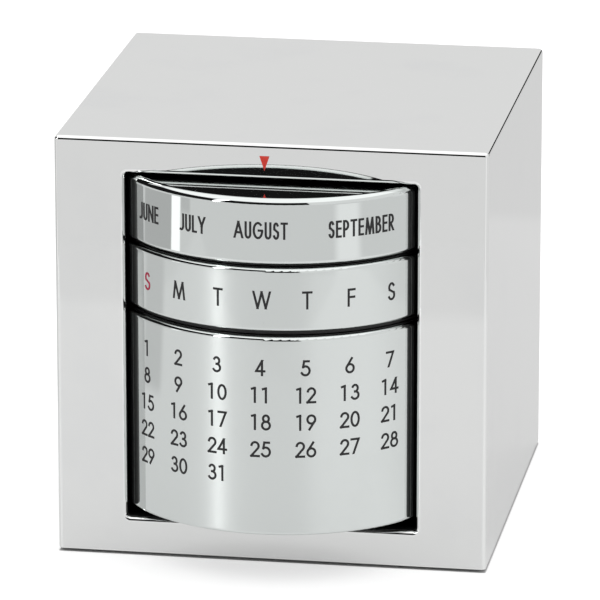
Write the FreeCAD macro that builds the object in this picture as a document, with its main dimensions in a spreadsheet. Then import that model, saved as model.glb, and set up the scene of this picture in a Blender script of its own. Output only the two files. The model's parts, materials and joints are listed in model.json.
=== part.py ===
import FreeCAD, Part
import math
import os

import Sketcher

# Perpetual desk calendar: a plated cube whose window shows three rings that turn on one upright
# spindle. Millimetres, +Z up, the window faces -Y, and the origin is the middle of the underside.

# Driving sizes: name, value, what it measures. They become the cells of the sheet.
DRIVING_SIZES = (
    ("drum_radius", 28.6, "outside radius of every ring"),
    ("drum_overhang", 11.0, "how far the rings stand out of the front face"),
    ("month_height", 10.52, "month ring without its lip, along the spindle"),
    ("weekday_height", 10.5, "weekday ring, along the spindle"),
    ("date_height", 33.4, "date drum, along the spindle"),
    ("month_gap", 0.6, "slot between the month ring and the weekday ring"),
    ("weekday_gap", 0.9, "slot between the weekday ring and the date drum"),
    ("ring_wall", 1.3, "wall and top of a ring's plated shell"),
    ("ring_edge_round", 0.65, "rounding of a ring's outer edges"),
    ("lip_height", 0.25, "lip round the month ring's top"),
    ("lip_width", 1.45, "lip round the month ring's top, its sloped inner side included"),
    ("lip_crest", 1.2, "level crest of the lip, its rounding included"),
    ("lip_round", 1.05, "rounding of the lip's outer edge"),
    ("case_depth", 69.6, "case, front to back"),
    ("case_wall", 2.2, "wall of the case"),
    ("case_edge_round", 0.75, "rounding of the case's upright and top edges"),
    ("case_rim_round", 0.3, "rounding of the case's rim, outside"),
    ("case_lift", 0.4, "height of the case's rim over the surface it stands on"),
    ("window_side_gap", 1.3, "slot between the rings and the window's sides, in the face"),
    ("window_head_gap", 0.53, "slot between the month ring and the window's head"),
    ("window_corner_round", 0.6, "corner radius of the window"),
    ("window_edge_round", 0.75, "rounding of the window's front edge"),
    ("window_relief_gap", 0.4, "room between the rings and the back of the window's edges"),
    ("sill_cover", 1.27, "how far the window's sill stands over the frame's floor"),
    ("head_cover", 1.0, "how far the window's head hangs below the frame's top plate"),
    ("frame_drum_gap", 1.8, "room between the rings and the frame's wall"),
    ("frame_wall", 1.2, "wall of the frame"),
    ("frame_case_gap", 1.5, "room between the frame's wall and the case's side"),
    ("frame_floor", 2.0, "floor of the frame"),
    ("frame_top", 2.0, "top plate of the frame"),
    ("frame_top_gap", 0.6, "room between the frame's top plate and the case"),
    ("plate_fit_gap", 0.2, "room between the case and a plate that slides into it"),
    ("pillar_radius", 2.4, "screw pillars of the frame"),
    ("pillar_angle", 32.0, "place of the pillars, from straight back, about the spindle"),
    ("boss_radius", 2.3, "screw bosses in the case's corners"),
    ("boss_height", 15.0, "screw bosses in the case's corners"),
    ("boss_sink", 0.2, "how far a boss sinks into the case's walls"),
    ("boss_rib_wall", 1.2, "ribs that tie a boss to the case's walls"),
    ("base_recess", 0.6, "how far the base plate lies inside the case's rim"),
    ("base_thickness", 2.2, "base plate"),
    ("pad_margin", 3.0, "border of the base plate that the pad leaves free"),
    ("pad_corner_round", 4.0, "corner radius of the pad"),
    ("screw_radius", 1.0, "thread of every screw"),
    ("screw_head_radius", 1.6, "countersunk head of every screw, under a right-angled cone"),
    ("screw_bite", 7.0, "length of thread in the material that holds it"),
    ("screw_hole_gap", 0.15, "room round a screw that passes through a plate"),
    ("screw_tip_gap", 1.0, "depth of a screw hole past the screw's end"),
    ("spindle_radius", 2.5, "spindle"),
    ("spindle_flat", 0.6, "depth of the flat along the spindle"),
    ("spindle_chamfer", 0.4, "chamfer at the spindle's ends"),
    ("running_fit", 0.05, "radial room between the spindle and what turns on it"),
    ("sliding_fit", 0.03, "room between the spindle and what is keyed to it"),
    ("face_gap", 0.1, "room between the faces of two parts that turn past each other"),
    ("hub_boss_radius", 5.0, "boss of a hub"),
    ("hub_web", 1.2, "web and rim of a hub"),
    ("hub_rib", 1.0, "rib of a hub"),
    ("hub_depth", 4.5, "depth of a hub's rim, web included"),
    ("hub_drop", 0.65, "how far the end cap's boss hangs out of the date drum"),
    ("shell_hole_gap", 0.1, "room between a hub's boss and the hole in its shell"),
    ("shell_fit_gap", 0.05, "room between a hub's rim and its shell"),
    ("cap_recess", 0.8, "how far the end cap lies inside the date drum's rim"),
    ("spacer_inset", 1.5, "how far a spacer disc's edge lies inside the rings"),
    ("bearing_height", 0.8, "raised seat on the frame's floor"),
    ("bearing_radius", 6.5, "bearing seats of the frame and washers"),
    ("spring_height", 0.9, "conical spring washer, free height"),
    ("spring_sheet", 0.35, "sheet of the spring washer"),
    ("washer_sheet", 0.6, "thrust washers"),
    ("pointer_width", 1.65, "red triangle, across its top"),
    ("pointer_height", 2.45, "red triangle, top to tip"),
    ("pointer_rise", 1.38, "tip of the triangle over the window's head"),
    ("pointer_offset", 0.9, "tip of the triangle left of the case's middle"),
    ("pointer_depth", 0.3, "recess that holds the triangle"),
    ("pointer_proud", 0.03, "how far the triangle's enamel stands out of the face"),
    ("overrun", 1.0, "how far every cut runs past the wall that it opens"),
)

RIB_COUNT = 6
FULL_TURN = 360.0
COUNTERSINK_ANGLE = 45.0
FINE = 1e-6
CORNER_SIGNS = ((1, 1), (1, -1), (-1, 1), (-1, -1))

doc = FreeCAD.newDocument("desk_calendar")
sheet = doc.addObject("Spreadsheet::Sheet", "sizes")
for row, (alias, value, meaning) in enumerate(DRIVING_SIZES, start=1):
    sheet.set("A%d" % row, alias)
    sheet.set("B%d" % row, str(value))
    sheet.set("C%d" % row, meaning)
    sheet.setAlias("B%d" % row, alias)
doc.recompute()


class Size:
    """A length with its value now and the expression that ties it to the sheet."""

    def __init__(self, value, text):
        self.value = value
        self.text = text

    def __add__(self, other):
        return Size(self.value + other.value, "(%s + %s)" % (self.text, other.text))

    def __sub__(self, other):
        return Size(self.value - other.value, "(%s - %s)" % (self.text, other.text))

    def __mul__(self, other):
        return Size(self.value * other.value, "(%s * %s)" % (self.text, other.text))

    def __neg__(self):
        return Size(-self.value, "(-(%s))" % self.text)

    def half(self):
        return Size(self.value / 2, "(%s / 2)" % self.text)

    def signed(self, sign):
        return self if sign > 0 else -self

    def root(self):
        return Size(math.sqrt(self.value), "sqrt(%s)" % self.text)

    def sine(self):
        return Size(math.sin(math.radians(self.value)), "sin(%s * 1 deg)" % self.text)

    def cosine(self):
        return Size(math.cos(math.radians(self.value)), "cos(%s * 1 deg)" % self.text)


def size(alias):
    return Size(float(sheet.get(alias)), "sizes.%s" % alias)


ZERO = Size(0.0, "0")


# Places worked out from the driving sizes.

# Heights, from the surface up.
base_bottom = size("case_lift") + size("base_recess")
floor_bottom = base_bottom + size("base_thickness")
floor_top = floor_bottom + size("frame_floor")
window_bottom = floor_top + size("sill_cover")
spring_bottom = floor_top + size("bearing_height")
washer_bottom = spring_bottom + size("spring_height")
cap_boss_bottom = washer_bottom + size("washer_sheet") + size("face_gap")
date_bottom = cap_boss_bottom + size("hub_drop")
date_top = date_bottom + size("date_height")
weekday_bottom = date_top + size("weekday_gap")
weekday_top = weekday_bottom + size("weekday_height")
month_bottom = weekday_top + size("month_gap")
month_top = month_bottom + size("month_height")
lip_top = month_top + size("lip_height")
window_top = month_top + size("window_head_gap")
plate_bottom = window_top + size("head_cover")
plate_top = plate_bottom + size("frame_top")
cavity_top = plate_top + size("frame_top_gap")
case_top = cavity_top + size("case_wall")

# Across and front to back.
frame_inner = size("drum_radius") + size("frame_drum_gap")
frame_outer = frame_inner + size("frame_wall")
cavity_half_width = frame_outer + size("frame_case_gap")
case_half_width = cavity_half_width + size("case_wall")
case_half_depth = size("case_depth").half()
cavity_half_depth = case_half_depth - size("case_wall")
face_y = -case_half_depth
axis_y = face_y + size("drum_radius") - size("drum_overhang")
axis_setback = size("drum_radius") - size("drum_overhang")
drum_half_chord = (size("drum_radius") * size("drum_radius") - axis_setback * axis_setback).root()
window_half_width = drum_half_chord + size("window_side_gap")
plate_half_width = cavity_half_width - size("plate_fit_gap")
plate_half_depth = cavity_half_depth - size("plate_fit_gap")
boss_x = cavity_half_width + size("boss_sink") - size("boss_radius")
boss_y = cavity_half_depth + size("boss_sink") - size("boss_radius")
pillar_reach = frame_outer + size("pillar_radius") - size("frame_wall").half()
pillar_x = pillar_reach * size("pillar_angle").sine()
pillar_y = axis_y + pillar_reach * size("pillar_angle").cosine()
frame_front_y = size("boss_radius") + size("plate_fit_gap") - boss_y
corner_places = [(boss_x.signed(x), boss_y.signed(y)) for x, y in CORNER_SIGNS]
pillar_places = [(pillar_x, pillar_y), (-pillar_x, pillar_y)]
screw_hole_radius = size("screw_radius") + size("screw_hole_gap")
screw_head_height = size("screw_head_radius") - size("screw_radius")


def origin_plane(body, role):
    """One of the body's own origin planes, such as XY_Plane."""
    return next(feature for feature in body.Origin.OriginFeatures if feature.Role == role)


def new_body(label):
    """A named body, made in the model's own frame."""
    body = doc.addObject("PartDesign::Body", label)
    body.Label = label
    body.Placement = FreeCAD.Placement()
    return body


def sketch_on(body, role, offset):
    """A sketch on one of the body's origin planes, shifted along the plane's normal."""
    sketch = body.newObject("Sketcher::SketchObject", "%s_sketch" % body.Name)
    sketch.AttachmentSupport = [(origin_plane(body, role), "")]
    sketch.MapMode = "FlatFace"
    sketch.setExpression("AttachmentOffset.Base.z", offset.text)
    return sketch


def fix_point(sketch, geometry, point, place):
    """Tie one point of the sketch to its distances from the sketch's origin."""
    for kind, distance in zip(("DistanceX", "DistanceY"), place):
        number = sketch.addConstraint(
            Sketcher.Constraint(kind, -1, 1, geometry, point, distance.value)
        )
        sketch.setExpression("Constraints[%d]" % number, distance.text)


def draw_polygon(sketch, corners):
    """A closed outline through the given corners."""
    points = [FreeCAD.Vector(x.value, y.value, 0) for x, y in corners]
    first = sketch.GeometryCount
    for number, start in enumerate(points):
        end = points[(number + 1) % len(points)]
        sketch.addGeometry(Part.LineSegment(start, end), False)
    for number in range(len(points)):
        following = first + (number + 1) % len(points)
        sketch.addConstraint(Sketcher.Constraint("Coincident", first + number, 2, following, 1))
    for number, corner in enumerate(corners):
        fix_point(sketch, first + number, 1, corner)


def draw_rectangle(sketch, low, high):
    """A rectangle between two corners."""
    draw_polygon(sketch, (low, (high[0], low[1]), high, (low[0], high[1])))


def draw_circle(sketch, centre, radius):
    """A circle with its centre and radius tied to the sheet."""
    middle = FreeCAD.Vector(centre[0].value, centre[1].value, 0)
    circle = Part.Circle(middle, FreeCAD.Vector(0, 0, 1), radius.value)
    number = sketch.addGeometry(circle, False)
    fix_point(sketch, number, 3, centre)
    round_size = sketch.addConstraint(Sketcher.Constraint("Radius", number, radius.value))
    sketch.setExpression("Constraints[%d]" % round_size, radius.text)


def draw_keyed_bore(sketch, radius, flat):
    """A bore round the origin with a flat on its +X side, as far out as flat."""
    reach = math.sqrt(radius.value ** 2 - flat.value ** 2)
    turn = math.atan2(reach, flat.value)
    centre = FreeCAD.Vector(0, 0, 0)
    circle = Part.Circle(centre, FreeCAD.Vector(0, 0, 1), radius.value)
    arc = sketch.addGeometry(Part.ArcOfCircle(circle, turn, 2 * math.pi - turn), False)
    lower = FreeCAD.Vector(flat.value, -reach, 0)
    upper = FreeCAD.Vector(flat.value, reach, 0)
    line = sketch.addGeometry(Part.LineSegment(lower, upper), False)
    sketch.addConstraint(Sketcher.Constraint("Coincident", arc, 3, -1, 1))
    sketch.addConstraint(Sketcher.Constraint("Coincident", arc, 2, line, 1))
    sketch.addConstraint(Sketcher.Constraint("Coincident", line, 2, arc, 1))
    sketch.addConstraint(Sketcher.Constraint("Vertical", line))
    round_size = sketch.addConstraint(Sketcher.Constraint("Radius", arc, radius.value))
    sketch.setExpression("Constraints[%d]" % round_size, radius.text)
    place = sketch.addConstraint(
        Sketcher.Constraint("DistanceX", -1, 1, line, 1, flat.value)
    )
    sketch.setExpression("Constraints[%d]" % place, flat.text)


def pad(body, sketch, length):
    """Raise the sketch along its normal."""
    feature = body.newObject("PartDesign::Pad", "%s_pad" % body.Name)
    feature.Profile = sketch
    feature.setExpression("Length", length.text)
    doc.recompute()
    return feature


def pocket(body, sketch, length, along_normal):
    """Cut the sketch to a depth, and stop if the cut removed nothing."""
    before = body.Shape.Volume
    feature = body.newObject("PartDesign::Pocket", "%s_pocket" % body.Name)
    feature.Profile = sketch
    feature.Reversed = along_normal
    feature.setExpression("Length", length.text)
    doc.recompute()
    if body.Shape.Volume > before - FINE:
        raise RuntimeError("%s: %s cuts nothing" % (body.Label, feature.Name))
    return feature


def revolve(body, sketch):
    """Turn the sketch once about its vertical axis."""
    feature = body.newObject("PartDesign::Revolution", "%s_turned" % body.Name)
    feature.Profile = sketch
    feature.ReferenceAxis = (sketch, ["V_Axis"])
    feature.Angle = FULL_TURN
    doc.recompute()
    return feature


def round_edges(body, radius, wanted):
    """Fillet the edges of the body that the test accepts."""
    tip = body.Tip
    names = [
        "Edge%d" % number
        for number, edge in enumerate(tip.Shape.Edges, start=1)
        if wanted(edge)
    ]
    feature = body.newObject("PartDesign::Fillet", "%s_round" % body.Name)
    feature.Base = (tip, names)
    feature.setExpression("Radius", radius.text)
    doc.recompute()
    return feature


def chamfer_edges(body, width, wanted):
    """Chamfer the edges of the body that the test accepts."""
    tip = body.Tip
    names = [
        "Edge%d" % number
        for number, edge in enumerate(tip.Shape.Edges, start=1)
        if wanted(edge)
    ]
    feature = body.newObject("PartDesign::Chamfer", "%s_chamfer" % body.Name)
    feature.Base = (tip, names)
    feature.setExpression("Size", width.text)
    doc.recompute()
    return feature


def set_on_axis(body):
    """Stand a turned body on the rings' common axis."""
    body.setExpression("Placement.Base.y", axis_y.text)
    doc.recompute()


def near(first, second):
    return abs(first - second) < FINE


def is_circle(edge, radius, height):
    """Whether the edge is a full circle of that radius at that height."""
    curve = edge.Curve
    if not isinstance(curve, Part.Circle):
        return False
    return near(curve.Radius, radius.value) and near(curve.Center.z, height.value)


# Case

def make_case_shell():
    """Five plated walls, open below, with the window, the screw bosses and the pointer's recess."""
    body = new_body("case_shell")
    outline = sketch_on(body, "XY_Plane", size("case_lift"))
    draw_rectangle(outline, (-case_half_width, -case_half_depth), (case_half_width, case_half_depth))
    pad(body, outline, case_top - size("case_lift"))
    round_edges(body, size("case_edge_round"), lambda edge: not is_rim(edge))
    round_edges(body, size("case_rim_round"), is_rim)

    hollow = sketch_on(body, "XY_Plane", size("case_lift"))
    draw_rectangle(
        hollow, (-cavity_half_width, -cavity_half_depth), (cavity_half_width, cavity_half_depth)
    )
    pocket(body, hollow, cavity_top - size("case_lift"), True)

    bosses = sketch_on(body, "XY_Plane", floor_top)
    for place in corner_places:
        draw_circle(bosses, place, size("boss_radius"))
    pad(body, bosses, size("boss_height"))
    side_ribs = sketch_on(body, "XY_Plane", floor_top)
    end_ribs = sketch_on(body, "XY_Plane", floor_top)
    half_rib = size("boss_rib_wall").half()
    into_side = cavity_half_width + size("case_wall").half()
    into_end = cavity_half_depth + size("case_wall").half()
    for (x, y), (sign_x, sign_y) in zip(corner_places, CORNER_SIGNS):
        draw_rectangle(side_ribs, (x, y - half_rib), (into_side.signed(sign_x), y + half_rib))
        draw_rectangle(end_ribs, (x - half_rib, y), (x + half_rib, into_end.signed(sign_y)))
    pad(body, side_ribs, size("boss_height"))
    pad(body, end_ribs, size("boss_height"))
    pilots = sketch_on(body, "XY_Plane", floor_top)
    for place in corner_places:
        draw_circle(pilots, place, size("screw_radius"))
    pocket(body, pilots, size("screw_bite") + size("screw_tip_gap"), True)

    window = sketch_on(body, "XZ_Plane", case_half_depth)
    draw_rectangle(window, (-window_half_width, window_bottom), (window_half_width, window_top))
    pocket(body, window, size("case_wall") + size("overrun"), False)
    round_edges(body, size("window_corner_round"), is_window_corner)
    round_edges(body, size("window_edge_round"), is_window_front_edge)

    relief = sketch_on(body, "XY_Plane", window_bottom)
    draw_circle(relief, (ZERO, axis_y), size("drum_radius") + size("window_relief_gap"))
    pocket(body, relief, window_top - window_bottom, True)

    recess = sketch_on(body, "XZ_Plane", case_half_depth)
    draw_polygon(recess, pointer_corners())
    pocket(body, recess, size("pointer_depth"), False)
    return body


def is_rim(edge):
    """An edge of the block that lies in the case's rim."""
    box = edge.BoundBox
    return near(box.ZMin, size("case_lift").value) and near(box.ZMax, size("case_lift").value)


def is_window_corner(edge):
    """An edge that runs through the front wall at a corner of the window."""
    box = edge.BoundBox
    across = near(box.XLength, 0) and near(box.ZLength, 0)
    return across and near(abs(box.XMin), window_half_width.value)


def is_window_front_edge(edge):
    """An edge of the window that lies in the front face."""
    box = edge.BoundBox
    in_face = near(box.YMin, face_y.value) and near(box.YMax, face_y.value)
    inside = max(abs(box.XMin), abs(box.XMax)) < window_half_width.value + FINE
    return in_face and inside and box.ZMax < window_top.value + FINE


def pointer_corners():
    """Corners of the red triangle, as seen on the face: across and up."""
    tip_x = -size("pointer_offset")
    tip_z = window_top + size("pointer_rise")
    top_z = tip_z + size("pointer_height")
    half = size("pointer_width").half()
    return ((tip_x - half, top_z), (tip_x, tip_z), (tip_x + half, top_z))


def make_month_pointer():
    """Red enamel that fills the triangular recess over the window."""
    body = new_body("month_pointer")
    sketch = sketch_on(body, "XZ_Plane", case_half_depth - size("pointer_depth"))
    draw_polygon(sketch, pointer_corners())
    pad(body, sketch, size("pointer_depth") + size("pointer_proud"))
    return body


# Frame and base

def draw_frame_wall(sketch):
    """A U round the rings: two straight sides that end behind the front bosses, and a half round."""
    centre = FreeCAD.Vector(0, axis_y.value, 0)
    upward = FreeCAD.Vector(0, 0, 1)
    front = frame_front_y
    numbers = []
    for radius in (frame_inner, frame_outer):
        circle = Part.Circle(centre, upward, radius.value)
        numbers.append(sketch.addGeometry(Part.ArcOfCircle(circle, 0, math.pi), False))
    inner, outer = numbers
    for side, end in ((1, 1), (-1, 2)):
        lines = []
        for arc, radius in ((inner, frame_inner), (outer, frame_outer)):
            start = FreeCAD.Vector(side * radius.value, axis_y.value, 0)
            stop = FreeCAD.Vector(side * radius.value, front.value, 0)
            line = sketch.addGeometry(Part.LineSegment(start, stop), False)
            sketch.addConstraint(Sketcher.Constraint("Coincident", line, 1, arc, end))
            sketch.addConstraint(Sketcher.Constraint("Vertical", line))
            lines.append(line)
        near_x = FreeCAD.Vector(side * frame_inner.value, front.value, 0)
        far_x = FreeCAD.Vector(side * frame_outer.value, front.value, 0)
        closing = sketch.addGeometry(Part.LineSegment(near_x, far_x), False)
        sketch.addConstraint(Sketcher.Constraint("Coincident", closing, 1, lines[0], 2))
        sketch.addConstraint(Sketcher.Constraint("Coincident", closing, 2, lines[1], 2))
        sketch.addConstraint(Sketcher.Constraint("Horizontal", closing))
        place = sketch.addConstraint(
            Sketcher.Constraint("DistanceY", -1, 1, closing, 1, front.value)
        )
        sketch.setExpression("Constraints[%d]" % place, front.text)
    for arc, radius in ((inner, frame_inner), (outer, frame_outer)):
        fix_point(sketch, arc, 3, (ZERO, axis_y))
        for end in (1, 2):
            level = sketch.addConstraint(
                Sketcher.Constraint("DistanceY", -1, 1, arc, end, axis_y.value)
            )
            sketch.setExpression("Constraints[%d]" % level, axis_y.text)
        round_size = sketch.addConstraint(Sketcher.Constraint("Radius", arc, radius.value))
        sketch.setExpression("Constraints[%d]" % round_size, radius.text)


def make_drum_frame():
    """Floor, U-shaped wall, bearing seat and screw pillars of the moulded frame, in one."""
    body = new_body("drum_frame")
    floor = sketch_on(body, "XY_Plane", floor_bottom)
    draw_rectangle(floor, (-plate_half_width, -plate_half_depth), (plate_half_width, plate_half_depth))
    pad(body, floor, size("frame_floor"))
    wall = sketch_on(body, "XY_Plane", floor_bottom)
    draw_frame_wall(wall)
    pad(body, wall, plate_bottom - floor_bottom)
    pillars = sketch_on(body, "XY_Plane", floor_bottom)
    for place in pillar_places:
        draw_circle(pillars, place, size("pillar_radius"))
    pad(body, pillars, plate_bottom - floor_bottom)
    seat = sketch_on(body, "XY_Plane", floor_bottom)
    draw_circle(seat, (ZERO, axis_y), size("bearing_radius"))
    pad(body, seat, spring_bottom - floor_bottom)
    bore = sketch_on(body, "XY_Plane", floor_bottom)
    draw_circle(bore, (ZERO, axis_y), size("spindle_radius") + size("sliding_fit"))
    pocket(body, bore, spring_bottom - floor_bottom, True)
    base_holes = sketch_on(body, "XY_Plane", floor_bottom)
    for place in corner_places:
        draw_circle(base_holes, place, screw_hole_radius)
    pocket(body, base_holes, size("frame_floor"), True)
    pillar_holes = sketch_on(body, "XY_Plane", plate_bottom)
    for place in pillar_places:
        draw_circle(pillar_holes, place, size("screw_radius"))
    pocket(body, pillar_holes, size("screw_bite") + size("screw_tip_gap"), False)
    return body


def make_frame_top_plate():
    """Bearing plate that closes the frame over the rings."""
    body = new_body("frame_top_plate")
    outline = sketch_on(body, "XY_Plane", plate_bottom)
    low = (-frame_outer, frame_front_y)
    draw_rectangle(outline, low, (frame_outer, axis_y))
    pad(body, outline, size("frame_top"))
    rear = sketch_on(body, "XY_Plane", plate_bottom)
    draw_circle(rear, (ZERO, axis_y), frame_outer)
    pad(body, rear, size("frame_top"))
    ears = sketch_on(body, "XY_Plane", plate_bottom)
    for place in pillar_places:
        draw_circle(ears, place, size("pillar_radius"))
    pad(body, ears, size("frame_top"))
    trim = sketch_on(body, "XY_Plane", plate_bottom)
    reach = frame_outer + size("overrun")
    draw_rectangle(trim, (-reach, axis_y - reach), (reach, frame_front_y))
    pocket(body, trim, size("frame_top"), True)
    seat_bottom = month_top + size("face_gap") + size("washer_sheet")
    seat = sketch_on(body, "XY_Plane", seat_bottom)
    draw_circle(seat, (ZERO, axis_y), size("bearing_radius"))
    pad(body, seat, plate_top - seat_bottom)
    bore = sketch_on(body, "XY_Plane", seat_bottom)
    draw_circle(bore, (ZERO, axis_y), size("spindle_radius") + size("sliding_fit"))
    pocket(body, bore, plate_top - seat_bottom, True)
    holes = sketch_on(body, "XY_Plane", plate_bottom)
    for place in pillar_places:
        draw_circle(holes, place, screw_hole_radius)
    pocket(body, holes, size("frame_top"), True)
    sink_holes(body, plate_top)
    return body


def sink_holes(body, height):
    """Countersink every screw hole whose mouth lies at this height."""
    chamfer_edges(
        body,
        size("screw_head_radius") - screw_hole_radius,
        lambda edge: is_circle(edge, screw_hole_radius, height),
    )


def make_base_plate():
    """Plate that closes the case from below, held by four countersunk screws."""
    body = new_body("base_plate")
    outline = sketch_on(body, "XY_Plane", base_bottom)
    draw_rectangle(outline, (-plate_half_width, -plate_half_depth), (plate_half_width, plate_half_depth))
    pad(body, outline, size("base_thickness"))
    holes = sketch_on(body, "XY_Plane", base_bottom)
    for place in corner_places:
        draw_circle(holes, place, screw_hole_radius)
    pocket(body, holes, size("base_thickness"), True)
    sink_holes(body, base_bottom)
    return body


def make_screws(label, places, head_face, length, downward):
    """Countersunk screws of one group, their heads flush with the face that they hold."""
    body = new_body(label)
    body.AllowCompound = True
    shanks = sketch_on(body, "XY_Plane", head_face)
    for place in places:
        draw_circle(shanks, place, size("screw_radius"))
    shank = pad(body, shanks, length)
    shank.Reversed = downward
    heads = sketch_on(body, "XY_Plane", head_face)
    for place in places:
        draw_circle(heads, place, size("screw_head_radius"))
    head = pad(body, heads, screw_head_height)
    head.Reversed = downward
    head.TaperAngle = -COUNTERSINK_ANGLE
    doc.recompute()
    return body


def is_upright(edge):
    """A straight edge that runs along Z."""
    box = edge.BoundBox
    return near(box.XLength, 0) and near(box.YLength, 0)


def make_base_pad():
    """Rubber pad that the calendar stands on, inside the border that holds the screws."""
    body = new_body("base_pad")
    half_width = plate_half_width - size("pad_margin")
    half_depth = plate_half_depth - size("pad_margin")
    outline = sketch_on(body, "XY_Plane", ZERO)
    draw_rectangle(outline, (-half_width, -half_depth), (half_width, half_depth))
    pad(body, outline, base_bottom)
    round_edges(body, size("pad_corner_round"), is_upright)
    return body


# Spindle, washers and spacers

def make_spindle():
    """Steel rod with a flat along it, trapped between the base plate and the case's top."""
    body = new_body("spindle")
    section = sketch_on(body, "XY_Plane", floor_bottom)
    draw_circle(section, (ZERO, ZERO), size("spindle_radius"))
    pad(body, section, plate_top - floor_bottom)
    chamfer_edges(body, size("spindle_chamfer"), lambda edge: isinstance(edge.Curve, Part.Circle))
    cut = sketch_on(body, "XY_Plane", floor_bottom)
    flat = size("spindle_radius") - size("spindle_flat")
    reach = size("spindle_radius") + size("overrun")
    draw_rectangle(cut, (flat, -reach), (reach, reach))
    pocket(body, cut, plate_top - floor_bottom, True)
    set_on_axis(body)
    return body


def make_spacer_disc(label, bottom, gap):
    """Black disc in the gap between two rings, keyed to the spindle's flat so that it never turns."""
    body = new_body(label)
    sketch = sketch_on(body, "XY_Plane", bottom + size("face_gap"))
    draw_circle(sketch, (ZERO, ZERO), size("drum_radius") - size("spacer_inset"))
    bore = size("spindle_radius") + size("sliding_fit")
    flat = size("spindle_radius") - size("spindle_flat") + size("sliding_fit")
    draw_keyed_bore(sketch, bore, flat)
    pad(body, sketch, gap - size("face_gap") - size("face_gap"))
    set_on_axis(body)
    return body


def make_washer(label, bottom):
    """Flat thrust washer on the spindle."""
    body = new_body(label)
    sketch = sketch_on(body, "XY_Plane", bottom)
    draw_circle(sketch, (ZERO, ZERO), size("bearing_radius"))
    draw_circle(sketch, (ZERO, ZERO), size("spindle_radius") + size("running_fit"))
    pad(body, sketch, size("washer_sheet"))
    set_on_axis(body)
    return body


def make_spring_washer():
    """Conical washer that presses the rings together and gives them their drag."""
    body = new_body("spring_washer")
    sketch = sketch_on(body, "XZ_Plane", ZERO)
    inner = size("spindle_radius") + size("running_fit")
    outer = size("bearing_radius")
    top = spring_bottom + size("spring_height")
    sheet_height = size("spring_sheet")
    corners = (
        (outer, spring_bottom),
        (outer, spring_bottom + sheet_height),
        (inner, top),
        (inner, top - sheet_height),
    )
    draw_polygon(sketch, corners)
    revolve(body, sketch)
    set_on_axis(body)
    return body


# Rings

def turn_shell(label, bottom, top, rim):
    """Plated cup that opens downward, with a hole in its top for its hub's boss."""
    body = new_body(label)
    outer = size("drum_radius")
    inner = outer - size("ring_wall")
    hole = size("hub_boss_radius") + size("shell_hole_gap")
    under_top = top - size("ring_wall")
    profile = sketch_on(body, "XZ_Plane", ZERO)
    corners = (
        (outer, bottom),
        *rim,
        (hole, top),
        (hole, under_top),
        (inner, under_top),
        (inner, bottom),
    )
    draw_polygon(profile, corners)
    revolve(body, profile)
    round_edges(body, size("ring_edge_round"), lambda edge: is_circle(edge, outer, bottom))
    set_on_axis(body)
    return body


def make_ring_shell(label, bottom, top):
    """Shell of a ring whose flat top hides under its neighbour."""
    outer = size("drum_radius")
    body = turn_shell(label, bottom, top, ((outer, top),))
    round_edges(body, size("ring_edge_round"), lambda edge: is_circle(edge, outer, top))
    return body


def make_month_shell():
    """Shell of the top ring: a lip stands round its flat top, which the window shows."""
    outer = size("drum_radius")
    crest = outer - size("lip_crest")
    foot = outer - size("lip_width")
    rim = ((outer, lip_top), (crest, lip_top), (foot, month_top))
    body = turn_shell("month_shell", month_bottom, month_top, rim)
    round_edges(body, size("lip_round"), lambda edge: is_circle(edge, outer, lip_top))
    return body


def add_ribs(body, low, high):
    """Ribs between a hub's boss and its rim, spaced evenly round the spindle."""
    sketch = sketch_on(body, "XY_Plane", low)
    half = size("hub_rib").half()
    start = size("hub_boss_radius") - size("hub_web").half()
    stop = size("drum_radius") - size("ring_wall") - size("shell_fit_gap") - size("hub_web").half()
    draw_rectangle(sketch, (start, -half), (stop, half))
    rib = pad(body, sketch, high - low)
    pattern = body.newObject("PartDesign::PolarPattern", "%s_ribs" % body.Name)
    pattern.Originals = [rib]
    pattern.Axis = (sketch, ["N_Axis"])
    pattern.Angle = FULL_TURN
    pattern.Occurrences = RIB_COUNT
    body.Tip = pattern
    doc.recompute()


def make_hub(label, boss_bottom, boss_top):
    """Moulded hub: a boss that turns on the spindle, a web under the shell's top, a rim and ribs."""
    body = new_body(label)
    web_top = boss_top - size("ring_wall")
    rim_bottom = web_top - size("hub_depth")
    bore = size("spindle_radius") + size("running_fit")
    boss = size("hub_boss_radius")
    rim = size("drum_radius") - size("ring_wall") - size("shell_fit_gap")
    rim_inner = rim - size("hub_web")
    web_bottom = web_top - size("hub_web")
    profile = sketch_on(body, "XZ_Plane", ZERO)
    corners = (
        (bore, boss_bottom),
        (boss, boss_bottom),
        (boss, web_bottom),
        (rim_inner, web_bottom),
        (rim_inner, rim_bottom),
        (rim, rim_bottom),
        (rim, web_top),
        (boss, web_top),
        (boss, boss_top),
        (bore, boss_top),
    )
    draw_polygon(profile, corners)
    revolve(body, profile)
    add_ribs(body, rim_bottom, web_bottom)
    set_on_axis(body)
    return body


def make_end_cap():
    """Disc that closes the date drum from below, with a boss that turns on the spindle."""
    body = new_body("date_end_cap")
    bore = size("spindle_radius") + size("running_fit")
    boss = size("hub_boss_radius")
    rim = size("drum_radius") - size("ring_wall") - size("shell_fit_gap")
    rim_inner = rim - size("hub_web")
    disc_bottom = date_bottom + size("cap_recess")
    disc_top = disc_bottom + size("hub_web")
    rim_top = disc_bottom + size("hub_depth")
    profile = sketch_on(body, "XZ_Plane", ZERO)
    corners = (
        (bore, cap_boss_bottom),
        (boss, cap_boss_bottom),
        (boss, disc_bottom),
        (rim, disc_bottom),
        (rim, rim_top),
        (rim_inner, rim_top),
        (rim_inner, disc_top),
        (boss, disc_top),
        (boss, rim_top),
        (bore, rim_top),
    )
    draw_polygon(profile, corners)
    revolve(body, profile)
    add_ribs(body, disc_top, rim_top)
    set_on_axis(body)
    return body


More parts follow.
